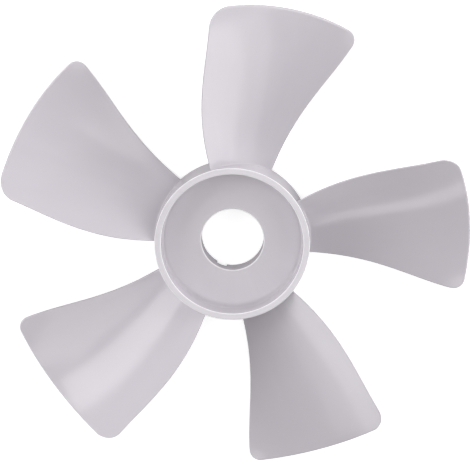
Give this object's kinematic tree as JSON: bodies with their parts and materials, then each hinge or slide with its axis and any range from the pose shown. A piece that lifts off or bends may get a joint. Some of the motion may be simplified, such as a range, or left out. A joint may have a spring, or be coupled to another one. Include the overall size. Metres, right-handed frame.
{
  "type": "cooling fan",
  "caption": "Moulded plastic cooling fan with swept, cambered blades round an open cup hub; its bore slides over a drive boss and a slot in the collar is turned by a lug.",
  "frame": {"origin": "centre of the bore at the rear end of the collar", "axes": "+Z along the turning axis towards the open side of the cup, +Y along the root of the first blade"},
  "size_m": [0.1764, 0.1757, 0.0237],
  "materials": {
    "fan_plastic": "satin"
  },
  "bodies": {
    "root": {"cooling_fan": "fan_plastic"}
  },
  "joints": []
}
